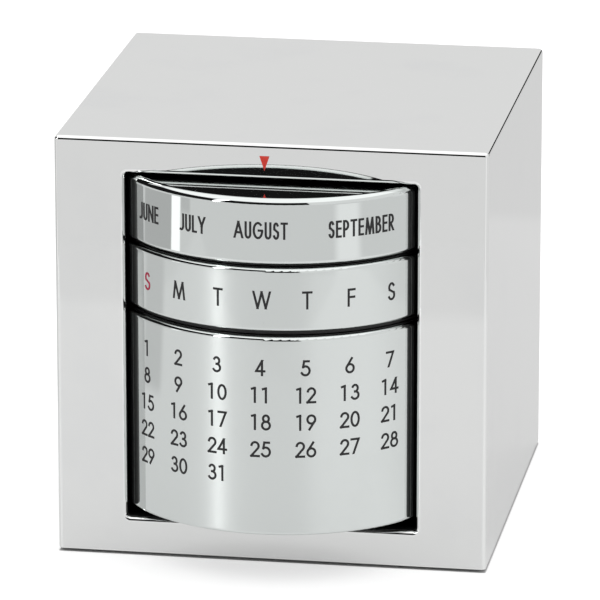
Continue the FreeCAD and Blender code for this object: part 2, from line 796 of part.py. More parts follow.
def check_pieces(bodies):
    """Stop unless every feature is up to date and every piece is a valid solid."""
    for feature in doc.Objects:
        if "Invalid" in feature.State or "Error" in feature.State:
            raise RuntimeError("%s failed: %s" % (feature.Name, feature.State))
    for body in bodies:
        shape = body.Shape
        if shape.isNull() or not shape.isValid() or not shape.Solids:
            raise RuntimeError("%s has no valid solid" % body.Label)


def write_pieces(bodies):
    """Write each piece to its own file, named after its label."""
    os.makedirs("parts", exist_ok=True)
    for body in bodies:
        body.Shape.exportStep("parts/%s.step" % body.Label)
        print(body.Label, "%d solid(s), %.1f mm3" % (len(body.Shape.Solids), body.Shape.Volume))


top_screw_length = size("frame_top") + size("screw_bite")
base_screw_length = size("base_thickness") + size("frame_floor") + size("screw_bite")

pieces = [
    make_case_shell(),
    make_month_pointer(),
    make_drum_frame(),
    make_frame_top_plate(),
    make_screws("top_plate_screws", pillar_places, plate_top, top_screw_length, True),
    make_base_plate(),
    make_screws("base_screws", corner_places, base_bottom, base_screw_length, False),
    make_base_pad(),
    make_spindle(),
    make_spring_washer(),
    make_washer("thrust_washer_lower", washer_bottom),
    make_washer("thrust_washer_upper", month_top + size("face_gap")),
    make_spacer_disc("spacer_disc_lower", date_top, size("weekday_gap")),
    make_spacer_disc("spacer_disc_upper", weekday_top, size("month_gap")),
    make_month_shell(),
    make_hub("month_hub", month_bottom, month_top),
    make_ring_shell("weekday_shell", weekday_bottom, weekday_top),
    make_hub("weekday_hub", weekday_bottom, weekday_top),
    make_ring_shell("date_shell", date_bottom, date_top),
    make_hub("date_hub", date_top - size("ring_wall") - size("hub_depth"), date_top),
    make_end_cap(),
]
doc.recompute()
check_pieces(pieces)
write_pieces(pieces)
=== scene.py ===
# %% [markdown]
# # A perpetual desk calendar in bright plating
#
# The calendar is a plated cube. Three rings stand out of a window in its front: months on top,
# weekdays below them, and a tall drum of dates. You turn them with a fingertip. The solids come
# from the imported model, so this script leaves their shape alone. It gives them their finishes,
# prints the lettering, adds the fine detail of the screws, and sets up the studio.

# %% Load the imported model
import json
import math

import bmesh
import bpy
from mathutils import Matrix, Vector
from mathutils.geometry import delaunay_2d_cdt


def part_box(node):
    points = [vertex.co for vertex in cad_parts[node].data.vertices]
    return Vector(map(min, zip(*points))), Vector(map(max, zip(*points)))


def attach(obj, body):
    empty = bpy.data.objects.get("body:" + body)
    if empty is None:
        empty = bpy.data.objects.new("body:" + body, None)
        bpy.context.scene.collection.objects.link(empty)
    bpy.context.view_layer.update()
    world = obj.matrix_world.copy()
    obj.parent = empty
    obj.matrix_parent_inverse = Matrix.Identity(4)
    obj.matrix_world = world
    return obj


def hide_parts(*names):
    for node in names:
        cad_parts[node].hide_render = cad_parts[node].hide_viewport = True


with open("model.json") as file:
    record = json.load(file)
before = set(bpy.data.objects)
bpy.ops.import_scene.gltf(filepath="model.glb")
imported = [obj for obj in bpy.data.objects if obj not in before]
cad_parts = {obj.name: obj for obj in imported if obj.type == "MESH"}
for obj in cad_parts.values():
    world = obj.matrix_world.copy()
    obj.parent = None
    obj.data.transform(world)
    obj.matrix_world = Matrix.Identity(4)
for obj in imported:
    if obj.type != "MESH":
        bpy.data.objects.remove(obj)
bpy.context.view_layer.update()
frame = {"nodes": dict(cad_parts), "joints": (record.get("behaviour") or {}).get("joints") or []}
MM = 0.001
print("nodes:", ", ".join(sorted(frame["nodes"])))

# %% [markdown]
# ## Measures
#
# The rings' radius, the line that they turn about and the boxes of the case and the rings are read
# from the model. So the finishes and the weekday initials follow the model if it changes. The rows
# of dates and the line of months have heights of their own, given where they are printed.

# %% Measures of the rings
axis_x, axis_y = frame["joints"][0]["pos_m"][:2]
date_low, date_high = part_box("date_shell")
weekday_low, weekday_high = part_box("weekday_shell")
month_low, month_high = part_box("month_shell")
case_low, case_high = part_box("case_shell")
ring_radius = (date_high.x - date_low.x) / 2
print("ring radius %.2f mm, axis at y %.2f mm" % (ring_radius / MM, axis_y / MM))

# %% [markdown]
# ## The camera
#
# The photograph is taken with a long lens from a little to the right of the front and from above.
# The angles and lengths below describe that. The camera looks along its own -Z, so its three axes
# are built from the direction back to it, and the picture's small tilt turns them.

# %% Camera at the photograph's viewing angle
CAMERA_AZIMUTH = math.radians(9.359)
CAMERA_ELEVATION = math.radians(16.611)
CAMERA_ROLL = math.radians(-0.042)
CAMERA_DISTANCE = 0.99464
CAMERA_LENS = 357.41
AIM_HEIGHT = 0.035
AIM_RIGHT = -0.000873
AIM_UP = -0.000642

back = Vector((
    math.sin(CAMERA_AZIMUTH) * math.cos(CAMERA_ELEVATION),
    -math.cos(CAMERA_AZIMUTH) * math.cos(CAMERA_ELEVATION),
    math.sin(CAMERA_ELEVATION),
))
level_right = Vector((math.cos(CAMERA_AZIMUTH), math.sin(CAMERA_AZIMUTH), 0))
level_up = back.cross(level_right)
right = math.cos(CAMERA_ROLL) * level_right + math.sin(CAMERA_ROLL) * level_up
up = math.cos(CAMERA_ROLL) * level_up - math.sin(CAMERA_ROLL) * level_right
aim = Vector((0, 0, AIM_HEIGHT)) + right * AIM_RIGHT + up * AIM_UP

lens = bpy.data.cameras.new("studio_camera")
lens.sensor_width = 36
lens.lens = CAMERA_LENS
camera = bpy.data.objects.new("studio_camera", lens)
bpy.context.scene.collection.objects.link(camera)
turn = Matrix((right, up, back)).transposed()
camera.matrix_world = Matrix.Translation(aim + back * CAMERA_DISTANCE) @ turn.to_4x4()
bpy.context.scene.camera = camera
bpy.context.scene.view_settings.view_transform = "Standard"
print("camera at", [round(v, 3) for v in camera.location])

# %% [markdown]
# ## A short way to write shader nodes
#
# A material is a small graph. Adding a node, setting its values and linking its sockets takes
# several lines each time, so two helpers do it in one: `put` adds any node, and `maths` adds a
# Math node and hands back its result.


# %% Node helpers
def put(tree, kind, inputs=(), **settings):
    """Add a node. Each input is either a value to set or a socket to link to."""
    node = tree.nodes.new(kind)
    for name, value in settings.items():
        setattr(node, name, value)
    for name, value in dict(inputs).items():
        if isinstance(value, bpy.types.NodeSocket):
            tree.links.new(value, node.inputs[name])
        else:
            node.inputs[name].default_value = value
    return node


def maths(tree, operation, *values):
    """Add a Math node and return its result."""
    return put(tree, "ShaderNodeMath", dict(enumerate(values)), operation=operation).outputs[0]


def mix_values(tree, share, first, second):
    """Blend two numbers: the first where the share is 0, the second where it is 1."""
    inputs = {"Factor": share, "A": first, "B": second}
    return put(tree, "ShaderNodeMix", inputs, data_type="FLOAT").outputs["Result"]


def new_group(name, sockets_in, sockets_out):
    """A node group with named inputs (name, kind, value) and outputs (name, kind)."""
    group = bpy.data.node_groups.new(name, "ShaderNodeTree")
    for label, kind, value in sockets_in:
        socket = group.interface.new_socket(label, in_out="INPUT", socket_type=kind)
        socket.default_value = value
    for label, kind in sockets_out:
        group.interface.new_socket(label, in_out="OUTPUT", socket_type=kind)
    return group, group.nodes.new("NodeGroupInput"), group.nodes.new("NodeGroupOutput")


def place(tree, group, values):
    """Add a node group with these input values, each a value to set or a socket to link to."""
    node = put(tree, "ShaderNodeGroup", node_tree=group)
    for name, value in values.items():
        if isinstance(value, bpy.types.NodeSocket):
            tree.links.new(value, node.inputs[name])
        else:
            node.inputs[name].default_value = value
    return node


# %% [markdown]
# ## A mask between two values
#
# Studio cards, the sheet on the table and the patches round it all have the same form: full
# strength between two values, with soft edges. The group `band_mask` makes one such band, and two
# bands multiplied give a soft box.

# %% The group band_mask
NUMBER = "NodeSocketFloat"


def make_band_mask():
    """1 where the value lies between Low and High, 0 outside, with edges of a given softness."""
    sockets = (("Value", NUMBER, 0.0), ("Low", NUMBER, 0.0), ("High", NUMBER, 1.0), ("Softness", NUMBER, 0.1))
    group, inside, outside = new_group("band_mask", sockets, (("Mask", NUMBER),))
    value, low, high, softness = (inside.outputs[n] for n in ("Value", "Low", "High", "Softness"))
    rise = put(group, "ShaderNodeMapRange", {
        "Value": value,
        "From Min": maths(group, "SUBTRACT", low, softness),
        "From Max": maths(group, "ADD", low, softness),
    }, interpolation_type="SMOOTHSTEP")
    fall = put(group, "ShaderNodeMapRange", {
        "Value": value,
        "From Min": maths(group, "ADD", high, softness),
        "From Max": maths(group, "SUBTRACT", high, softness),
    }, interpolation_type="SMOOTHSTEP")
    both = maths(group, "MULTIPLY", rise.outputs[0], fall.outputs[0])
    group.links.new(both, outside.inputs["Mask"])
    return group


BAND_MASK = make_band_mask()


def band(tree, value, low, high, softness):
    """The mask of one band of values."""
    values = {"Value": value, "Low": low, "High": high, "Softness": softness}
    return place(tree, BAND_MASK, values).outputs["Mask"]


# %% [markdown]
# ## The studio's light
#
# Bright plating has no colour of its own to speak of: it shows what stands round it. The
# photograph was taken in a white light tent with black cards in front of the cube. The cards give
# the thin black lines along the cube's front edge and round the top ring's lip. The world below is
# that tent, written as a function of the direction: azimuth from the front, and elevation. The
# bright strip is the gap between the cards, and a low dark strip stands behind on the right. The
# camera itself sees plain white.

# %% The world as a light tent
TENT_LOW = 0.92
TENT_HIGH = 1.35
TENT_RISE = (42.0, 50.0)
CARD_TONE = 0.012
STRIP_TONE = 10.5
CARD_LOW, CARD_HIGH = 4.0, 44.0
CARDS = ((-110.0, -40.0), (-35.6, 23.2))
STRIP = (-40.0, -35.6)
SHADE = (120.0, 178.0)
SHADE_BOTTOM, SHADE_TOP = -1.0, 8.0
SHADE_EDGE = 3.0
EDGE = 0.6

world = bpy.data.worlds.new("light_tent")
bpy.context.scene.world = world
world.use_nodes = True
sky = world.node_tree
sky.nodes.clear()
direction = put(sky, "ShaderNodeTexCoord").outputs["Generated"]
parts = put(sky, "ShaderNodeSeparateXYZ", {"Vector": direction})
away = maths(sky, "MULTIPLY", parts.outputs["Y"], -1.0)
azimuth = maths(sky, "DEGREES", maths(sky, "ARCTAN2", parts.outputs["X"], away))
elevation = maths(sky, "DEGREES", maths(sky, "ARCSINE", parts.outputs["Z"]))
tone = put(sky, "ShaderNodeMapRange", {
    "Value": elevation, "From Min": TENT_RISE[0], "From Max": TENT_RISE[1],
    "To Min": TENT_LOW, "To Max": TENT_HIGH,
}, interpolation_type="SMOOTHSTEP").outputs[0]
card_height = band(sky, elevation, CARD_LOW, CARD_HIGH, EDGE)
for low, high in CARDS:
    card = maths(sky, "MULTIPLY", card_height, band(sky, azimuth, low, high, EDGE))
    tone = mix_values(sky, card, tone, CARD_TONE)
strip = maths(sky, "MULTIPLY", card_height, band(sky, azimuth, STRIP[0], STRIP[1], EDGE))
tone = mix_values(sky, strip, tone, STRIP_TONE)
shade_height = band(sky, elevation, SHADE_BOTTOM, SHADE_TOP, EDGE)
shade = maths(sky, "MULTIPLY", shade_height, band(sky, azimuth, SHADE[0], SHADE[1], SHADE_EDGE))
tone = mix_values(sky, shade, tone, CARD_TONE)
seen = put(sky, "ShaderNodeLightPath").outputs["Is Camera Ray"]
tone = mix_values(sky, seen, tone, 1.0)
glow = put(sky, "ShaderNodeBackground", {"Color": (1, 1, 1, 1), "Strength": tone})
put(sky, "ShaderNodeOutputWorld", {"Surface": glow.outputs[0]})
print("light tent with", len(CARDS), "black cards")

# %% [markdown]
# ## The floor
#
# The cube stands on a white sheet on a pale table. The camera sees both as white, with the cube's
# soft shadow. The plating sees more: the edge of the sheet, the darker table beyond it, and a few
# patches of painted reflection. So the floor's material asks Light Path which kind of ray it meets.
# Part of what either ray sees is the real light on the floor, which makes the shadow. For the camera
# the rest is an even glow; for the plating the rest is a glow painted with the sheet, the table and
# the patches. Both end at the cube's rim.
#
# The rings are round, so they show the table as a fan. The patches are written that way: each lies
# between two angles and two distances, seen from the rings' axis. The angle is 0 straight in front
# and grows to the reader's right. In front of the cube the surface also has a faint gloss. It
# mirrors the gap between the black cards, and the rings show that as a soft bright streak.

# %% The floor
FLOOR_REACH = 3.0
SHEET_REACH = 0.176
SHEET_EDGE = 0.006
SHEET_TONE = 0.84
TABLE_TONE = 0.79
FLOOR_COLOUR = 0.9
CAMERA_COLOUR = 0.60
CAMERA_LIFT = 0.60
GLOSSY_COLOUR = 0.35
OPEN_LIGHT = 0.95
GLOSS_REACH, GLOSS_REACH_EDGE = 0.207, 0.004
GLOSS_SPREAD, GLOSS_SPREAD_EDGE = 75.0, 20.0
GLOSS_WEIGHT = 0.20
GLOSS_ROUGHNESS = 0.45
RIM_EDGE = 0.2 * MM
# The patches are painted reflections: tones in the glow that only glossy rays see, one brighter than white
# paper.
# Each patch: name, angles, softness of their ends, distances, softness of their ends, tone
PATCHES = (
    ("grey_shade", (-91, -74), 2.5, (0.115, 0.203), 0.006, 0.67),
    ("painted_grey_reflection", (-93, -68), 1.0, (0.205, 0.400), 0.003, 0.54),
    ("painted_dark_reflection", (-61, -54), 1.0, (0.239, 0.400), 0.003, 0.62),
    ("painted_white_reflection", (-68.2, -61.3), 0.6, (0.207, 0.400), 0.002, 1.45),
    ("painted_cream_reflection", (39, 54), 3.0, (0.207, 0.400), 0.004, 1.02),
)


def polar_place(tree, spot):
    """A place's angle in degrees and its distance, seen from the rings' axis."""
    right_of = maths(tree, "SUBTRACT", spot.outputs["X"], axis_x)
    front_of = maths(tree, "SUBTRACT", axis_y, spot.outputs["Y"])
    angle = maths(tree, "DEGREES", maths(tree, "ARCTAN2", right_of, front_of))
    squares = maths(tree, "ADD", maths(tree, "POWER", right_of, 2.0), maths(tree, "POWER", front_of, 2.0))
    return angle, maths(tree, "SQRT", squares)


def make_floor_material():
    """Matt paper that the camera sees as white, and that the plating sees with its painted reflection
    patches.
    """
    material = bpy.data.materials.new("white_sheet_on_pale_table")
    material.use_nodes = True
    tree = material.node_tree
    tree.nodes.clear()
    place_xyz = put(tree, "ShaderNodeNewGeometry").outputs["Position"]
    spot = put(tree, "ShaderNodeSeparateXYZ", {"Vector": place_xyz})
    across = band(tree, spot.outputs["X"], -SHEET_REACH, SHEET_REACH, SHEET_EDGE)
    along = band(tree, spot.outputs["Y"], -SHEET_REACH, SHEET_REACH, SHEET_EDGE)
    sheet = maths(tree, "MULTIPLY", across, along)
    tone = mix_values(tree, sheet, TABLE_TONE, SHEET_TONE)
    angle, distance = polar_place(tree, spot)
    for _, angles, angle_soft, reaches, reach_soft, patch_tone in PATCHES:
        fan = band(tree, angle, *angles, angle_soft)
        belt = band(tree, distance, *reaches, reach_soft)
        tone = mix_values(tree, maths(tree, "MULTIPLY", fan, belt), tone, patch_tone)
    path = put(tree, "ShaderNodeLightPath")
    from_camera, from_gloss = path.outputs["Is Camera Ray"], path.outputs["Is Glossy Ray"]
    level = mix_values(tree, from_camera, FLOOR_COLOUR, CAMERA_COLOUR)
    level = mix_values(tree, from_gloss, level, GLOSSY_COLOUR)
    colour = put(tree, "ShaderNodeCombineColor", {"Red": level, "Green": level, "Blue": level})
    # For glossy rays this emission makes up the painted tone of the sheet, the table and the patches.
    rest = maths(tree, "SUBTRACT", tone, GLOSSY_COLOUR * OPEN_LIGHT)
    lift = maths(tree, "MULTIPLY", from_camera, CAMERA_LIFT)
    lift = maths(tree, "MULTIPLY_ADD", from_gloss, rest, lift)
    under_x = band(tree, spot.outputs["X"], case_low.x, case_high.x, RIM_EDGE)
    under_y = band(tree, spot.outputs["Y"], case_low.y, case_high.y, RIM_EDGE)
    open_floor = maths(tree, "SUBTRACT", 1.0, maths(tree, "MULTIPLY", under_x, under_y))
    lift = maths(tree, "MULTIPLY", lift, open_floor)
    matt = put(tree, "ShaderNodeBsdfDiffuse", {"Color": colour.outputs[0]})
    gloss = put(tree, "ShaderNodeBsdfGlossy", {"Color": (1, 1, 1, 1), "Roughness": GLOSS_ROUGHNESS})
    near = band(tree, distance, -1.0, GLOSS_REACH, GLOSS_REACH_EDGE)
    in_front = band(tree, angle, -GLOSS_SPREAD, GLOSS_SPREAD, GLOSS_SPREAD_EDGE)
    polished = maths(tree, "MULTIPLY", near, in_front)
    share = maths(tree, "MULTIPLY", maths(tree, "MULTIPLY", polished, from_gloss), GLOSS_WEIGHT)
    paper = put(tree, "ShaderNodeMixShader", {0: share, 1: matt.outputs[0], 2: gloss.outputs[0]})
    light = put(tree, "ShaderNodeEmission", {"Color": (1, 1, 1, 1), "Strength": lift})
    both = put(tree, "ShaderNodeAddShader", {0: paper.outputs[0], 1: light.outputs[0]})
    put(tree, "ShaderNodeOutputMaterial", {"Surface": both.outputs[0]})
    return material


floor_mesh = bpy.data.meshes.new("floor")
corners = [(x * FLOOR_REACH, y * FLOOR_REACH, 0) for x, y in ((-1, -1), (1, -1), (1, 1), (-1, 1))]
floor_mesh.from_pydata(corners, [], [(0, 1, 2, 3)])
floor_mesh.materials.append(make_floor_material())
floor = bpy.data.objects.new("floor", floor_mesh)
bpy.context.scene.collection.objects.link(floor)
print("floor with", len(PATCHES), "patches")

# %% [markdown]
# ## Surface effects that several finishes share
#
# Three effects turn up on more than one piece, so each is a node group. `handling` is the faint
# haze that fingers and a polishing cloth leave on anything bright: broad smudges and very fine
# wipe marks. `dust` is a sprinkle of specks. `grain` is the fine texture that a spark-eroded
# mould gives to plastic.


# %% The group handling
def make_handling():
    """Smudge and Wipe are masks from 0 to 1; Height is a very low waviness for a Bump node."""
    sockets = (("Smudge Scale", NUMBER, 60.0), ("Wipe Scale", NUMBER, 900.0))
    outputs = (("Smudge", NUMBER), ("Wipe", NUMBER), ("Height", NUMBER))
    group, inside, outside = new_group("handling", sockets, outputs)
    spot = put(group, "ShaderNodeTexCoord").outputs["Object"]
    broad = put(group, "ShaderNodeTexNoise", {
        "Vector": spot, "Scale": inside.outputs["Smudge Scale"], "Detail": 4.0, "Roughness": 0.6,
    })
    smudge = put(group, "ShaderNodeMapRange", {
        "Value": broad.outputs["Fac"], "From Min": 0.5, "From Max": 0.72,
    }, interpolation_type="SMOOTHSTEP").outputs[0]
    stretch = put(group, "ShaderNodeMapping", {
        "Vector": spot, "Rotation": (0.5, 0.3, 0.7), "Scale": (1.0, 0.04, 0.6),
    })
    lines = put(group, "ShaderNodeTexNoise", {
        "Vector": stretch.outputs[0], "Scale": inside.outputs["Wipe Scale"], "Detail": 2.0,
    })
    wipe = put(group, "ShaderNodeMapRange", {
        "Value": lines.outputs["Fac"], "From Min": 0.62, "From Max": 0.75,
    }).outputs[0]
    group.links.new(smudge, outside.inputs["Smudge"])
    group.links.new(wipe, outside.inputs["Wipe"])
    group.links.new(broad.outputs["Fac"], outside.inputs["Height"])
    return group


HANDLING = make_handling()


# %% The groups dust and grain
def make_dust():
    """A mask of small specks, thick or thin by Amount."""
    sockets = (("Scale", NUMBER, 700.0), ("Amount", NUMBER, 0.05))
    group, inside, outside = new_group("dust", sockets, (("Mask", NUMBER),))
    spot = put(group, "ShaderNodeTexCoord").outputs["Object"]
    cells = put(group, "ShaderNodeTexVoronoi", {"Vector": spot, "Scale": inside.outputs["Scale"]})
    speck = maths(group, "LESS_THAN", cells.outputs["Distance"], inside.outputs["Amount"])
    group.links.new(speck, outside.inputs["Mask"])
    return group


def make_grain():
    """Height of a mould's fine texture, and a slow Tone that varies from 0 to 1."""
    sockets = (("Scale", NUMBER, 3000.0),)
    group, inside, outside = new_group("grain", sockets, (("Height", NUMBER), ("Tone", NUMBER)))
    spot = put(group, "ShaderNodeTexCoord").outputs["Object"]
    fine = put(group, "ShaderNodeTexNoise", {
        "Vector": spot, "Scale": inside.outputs["Scale"], "Detail": 3.0, "Roughness": 0.7,
    })
    slow = put(group, "ShaderNodeTexNoise", {"Vector": spot, "Scale": 90.0, "Detail": 2.0})
    group.links.new(fine.outputs["Fac"], outside.inputs["Height"])
    group.links.new(slow.outputs["Fac"], outside.inputs["Tone"])
    return group


DUST = make_dust()
GRAIN = make_grain()
print("shared effects:", HANDLING.name, DUST.name, GRAIN.name)


# %% [markdown]
# ## Plating
#
# The case and the rings are moulded and then plated with bright chrome. In Blender that is a
# metallic Principled BSDF: its base colour is what it reflects straight on, its specular tint what
# it reflects at a glancing angle, and its roughness is close to zero. The rings' plating is a shade
# darker and cooler than the case's. Handling adds a little haze, and a very weak bump lets the
# reflections waver as they do on plated mouldings. Inside, from just behind the window's rounded
# edges, the case has a coat of black lacquer, which shows beside the rings. On the window's inner
# edge faces that black is also painted shade. In reflections the window's upright edges are painted
# black as well: painted shade.

# %% Plating material
def start_material(name):
    """A new material with a Principled BSDF linked to its output."""
    material = bpy.data.materials.new(name)
    material.use_nodes = True
    tree = material.node_tree
    tree.nodes.clear()
    surface = put(tree, "ShaderNodeBsdfPrincipled")
    put(tree, "ShaderNodeOutputMaterial", {"Surface": surface.outputs[0]})
    return material, tree, surface


def mix_colours(tree, share, first, second):
    """Blend two colours: the first where the share is 0, the second where it is 1."""
    node = put(tree, "ShaderNodeMix", {"Factor": share}, data_type="RGBA")
    for socket, value in ((node.inputs[6], first), (node.inputs[7], second)):
        if isinstance(value, bpy.types.NodeSocket):
            tree.links.new(value, socket)
        else:
            socket.default_value = value
    return node.outputs[2]


def link_bump(tree, surface, height, strength, distance):
    """Let a texture's height ripple the surface."""
    bump = put(tree, "ShaderNodeBump", {"Strength": strength, "Distance": distance, "Height": height})
    tree.links.new(bump.outputs[0], surface.inputs["Normal"])


# Black of the inner lacquer; on the window's edges the same black is painted shade.
LACQUER_AND_SHADE_TONE = (0.010, 0.010, 0.010, 1)
LACQUER_START = 0.6 * MM
RIM_WIDTH = 1.2 * MM
JAMB_LOW, JAMB_HIGH = 23.0 * MM, 25.6 * MM
PLATING_ROUGHNESS = 0.03
PLATING_HAZE = 0.02


def lacquer_mask(tree):
    """1 on the case's inner faces, 0 on its outside and its bottom rim.

    A mirror beside the window's upright edges sees them edge on, with the shadow behind them,
    so for rays from a mirror the mask paints these edges black too: painted shade.
    """
    spot = put(tree, "ShaderNodeTexCoord").outputs["Object"]
    spot = put(tree, "ShaderNodeSeparateXYZ", {"Vector": spot})
    soft = 0.08 * MM
    wide = band(tree, spot.outputs["X"], case_low.x + RIM_WIDTH, case_high.x - RIM_WIDTH, soft)
    deep = band(tree, spot.outputs["Y"], case_low.y + LACQUER_START, case_high.y - RIM_WIDTH, soft)
    tall = band(tree, spot.outputs["Z"], case_low.z + RIM_WIDTH, case_high.z - RIM_WIDTH, soft)
    inner = maths(tree, "MULTIPLY", maths(tree, "MULTIPLY", wide, deep), tall)
    sideways = maths(tree, "ABSOLUTE", spot.outputs["X"])
    jamb = band(tree, sideways, JAMB_LOW, JAMB_HIGH, soft)
    front = maths(tree, "LESS_THAN", spot.outputs["Y"], case_low.y + LACQUER_START)
    beside = band(tree, spot.outputs["Z"], date_low.z, month_high.z, soft)
    mirrored = put(tree, "ShaderNodeLightPath").outputs["Is Glossy Ray"]
    # Painted shade: the window's upright edges turn black only for rays from a mirror beside the rings.
    upright_edge = maths(tree, "MULTIPLY", jamb, front)
    shade_seen_in_mirror = maths(tree, "MULTIPLY", beside, mirrored)
    return maths(tree, "MAXIMUM", inner, maths(tree, "MULTIPLY", upright_edge, shade_seen_in_mirror))


def make_plating(name, colour, smudged, glancing, lacquer_and_painted_shade):
    """Bright chrome, with or without the black lacquer inside the case and the painted shade on the window's
    edges.
    """
    material, tree, surface = start_material(name)
    surface.inputs["Specular Tint"].default_value = (glancing, glancing, glancing, 1)
    marks = place(tree, HANDLING, {"Smudge Scale": 45.0, "Wipe Scale": 700.0})
    specks = place(tree, DUST, {"Scale": 260.0, "Amount": 0.025})
    base = mix_colours(tree, marks.outputs["Smudge"], colour, smudged)
    rough = maths(tree, "MULTIPLY_ADD", marks.outputs["Smudge"], PLATING_HAZE, PLATING_ROUGHNESS)
    rough = maths(tree, "MULTIPLY_ADD", marks.outputs["Wipe"], PLATING_HAZE, rough)
    rough = maths(tree, "MULTIPLY_ADD", specks.outputs["Mask"], 0.2, rough)
    surface.inputs["Metallic"].default_value = 1.0
    if lacquer_and_painted_shade:
        # The mask is black lacquer inside the case and painted shade on the window's edges.
        inner = lacquer_mask(tree)
        base = mix_colours(tree, inner, base, LACQUER_AND_SHADE_TONE)
        rough = mix_values(tree, inner, rough, 0.5)
        tree.links.new(maths(tree, "SUBTRACT", 1.0, inner), surface.inputs["Metallic"])
    tree.links.new(base, surface.inputs["Base Color"])
    tree.links.new(rough, surface.inputs["Roughness"])
    link_bump(tree, surface, marks.outputs["Height"], 0.02, 0.5 * MM)
    return material


case_plating = make_plating(
    "case_plating", (0.800, 0.806, 0.800, 1), (0.780, 0.787, 0.785, 1), glancing=0.86, lacquer_and_painted_shade=True,
)
ring_plating = make_plating(
    "ring_plating", (0.672, 0.700, 0.690, 1), (0.655, 0.682, 0.672, 1), glancing=1.0, lacquer_and_painted_shade=False,
)


def dress(material, *nodes):
    """Put the material in the CAD nodes' slots."""
    for name in nodes:
        mesh = frame["nodes"][name].data
        mesh.materials.clear()
        mesh.materials.append(material)


dress(case_plating, "case_shell")
dress(ring_plating, "month_shell", "weekday_shell", "date_shell")
print("plated:", case_plating.name, ring_plating.name)


# %% [markdown]
# ## Plastics, steel, rubber and enamel
#
# The frame, the hubs and the base are black mouldings. The spindle and the spring are turned and
# pressed steel, the thrust washers are natural nylon, and the pad that the cube stands on is
# rubber. The month pointer is enamel that was filled into a recess and stands a hair proud.

# %% Black moulding, rubber and nylon
DUST_TONE = (0.5, 0.5, 0.48, 1)


def make_moulding(name, dark, light, roughness, grain_scale, depth):
    """A matt moulding between two tones, with a mould's grain and a little dust."""
    material, tree, surface = start_material(name)
    texture = place(tree, GRAIN, {"Scale": grain_scale})
    base = mix_colours(tree, texture.outputs["Tone"], dark, light)
    specks = place(tree, DUST, {"Scale": 500.0, "Amount": 0.03})
    dusty = maths(tree, "MULTIPLY", specks.outputs["Mask"], 0.25)
    base = mix_colours(tree, dusty, base, DUST_TONE)
    tree.links.new(base, surface.inputs["Base Color"])
    rough = maths(tree, "MULTIPLY_ADD", texture.outputs["Tone"], 0.12, roughness)
    tree.links.new(rough, surface.inputs["Roughness"])
    link_bump(tree, surface, texture.outputs["Height"], 0.6, depth)
    return material


black_moulding = make_moulding(
    "black_moulding", (0.010, 0.010, 0.011, 1), (0.018, 0.018, 0.019, 1),
    roughness=0.42, grain_scale=2600.0, depth=0.04 * MM,
)
rubber = make_moulding(
    "stippled_rubber", (0.016, 0.016, 0.016, 1), (0.026, 0.026, 0.025, 1),
    roughness=0.75, grain_scale=900.0, depth=0.2 * MM,
)
nylon = make_moulding(
    "natural_nylon", (0.74, 0.72, 0.66, 1), (0.80, 0.78, 0.73, 1),
    roughness=0.35, grain_scale=2000.0, depth=0.03 * MM,
)
dress(
    black_moulding, "drum_frame", "frame_top_plate", "base_plate", "month_hub", "weekday_hub",
    "date_hub", "date_end_cap", "spacer_disc_lower", "spacer_disc_upper",
)
dress(rubber, "base_pad")
dress(nylon, "thrust_washer_lower", "thrust_washer_upper")
print("mouldings:", black_moulding.name, rubber.name, nylon.name)


# %% Turned steel
def make_steel():
    """Bright steel with the fine rings that a lathe leaves across the axis."""
    material, tree, surface = start_material("turned_steel")
    surface.inputs["Metallic"].default_value = 1.0
    marks = place(tree, HANDLING, {"Smudge Scale": 120.0, "Wipe Scale": 1500.0})
    base = mix_colours(tree, marks.outputs["Smudge"], (0.56, 0.56, 0.57, 1), (0.50, 0.50, 0.50, 1))
    tree.links.new(base, surface.inputs["Base Color"])
    spot = put(tree, "ShaderNodeTexCoord").outputs["Object"]
    rings = put(tree, "ShaderNodeTexWave", {
        "Vector": spot, "Scale": 900.0, "Distortion": 1.5, "Detail": 2.0,
    }, bands_direction="Z")
    rough = maths(tree, "MULTIPLY_ADD", rings.outputs["Fac"], 0.10, 0.20)
    tree.links.new(rough, surface.inputs["Roughness"])
    link_bump(tree, surface, rings.outputs["Fac"], 0.3, 0.02 * MM)
    return material


steel = make_steel()
dress(steel, "spindle", "spring_washer")


# %% Enamel and ink
def make_coating(name, colour, thin, roughness, coat):
    """An even coat of colour that thins a little here and there, under a clear gloss."""
    material, tree, surface = start_material(name)
    texture = place(tree, GRAIN, {"Scale": 1800.0})
    base = mix_colours(tree, texture.outputs["Tone"], colour, thin)
    tree.links.new(base, surface.inputs["Base Color"])
    rough = maths(tree, "MULTIPLY_ADD", texture.outputs["Tone"], 0.15, roughness)
    tree.links.new(rough, surface.inputs["Roughness"])
    surface.inputs["Coat Weight"].default_value = coat
    surface.inputs["Coat Roughness"].default_value = 0.08
    link_bump(tree, surface, texture.outputs["Height"], 0.25, 0.02 * MM)
    return material


red_enamel = make_coating(
    "red_enamel", (0.75, 0.028, 0.014, 1), (0.82, 0.045, 0.022, 1), roughness=0.3, coat=0.15,
)
black_ink = make_coating(
    "black_ink", (0.006, 0.006, 0.007, 1), (0.012, 0.012, 0.013, 1), roughness=0.5, coat=0.0,
)
crimson_ink = make_coating(
    "crimson_ink", (0.38, 0.018, 0.055, 1), (0.46, 0.030, 0.075, 1), roughness=0.5, coat=0.0,
)
dress(red_enamel, "month_pointer")
print("coatings:", red_enamel.name, black_ink.name, crimson_ink.name)

# %% [markdown]
# ## Letters as pen strokes
#
# The lettering is a plain geometric sans, the kind drawn with a ruling pen: every stroke has the
# same width. So a glyph is written as its centre lines, in a box whose height is 1, and the pen
# does the rest. A straight upright or level stroke ends square. A slanting stroke is cut level at
# its top and foot, as a letter cutter would. A curve is an arc of an ellipse.


# %% Strokes of a glyph
def line(*points):
    """A pen line through points, with square ends."""
    return ("line", list(points))


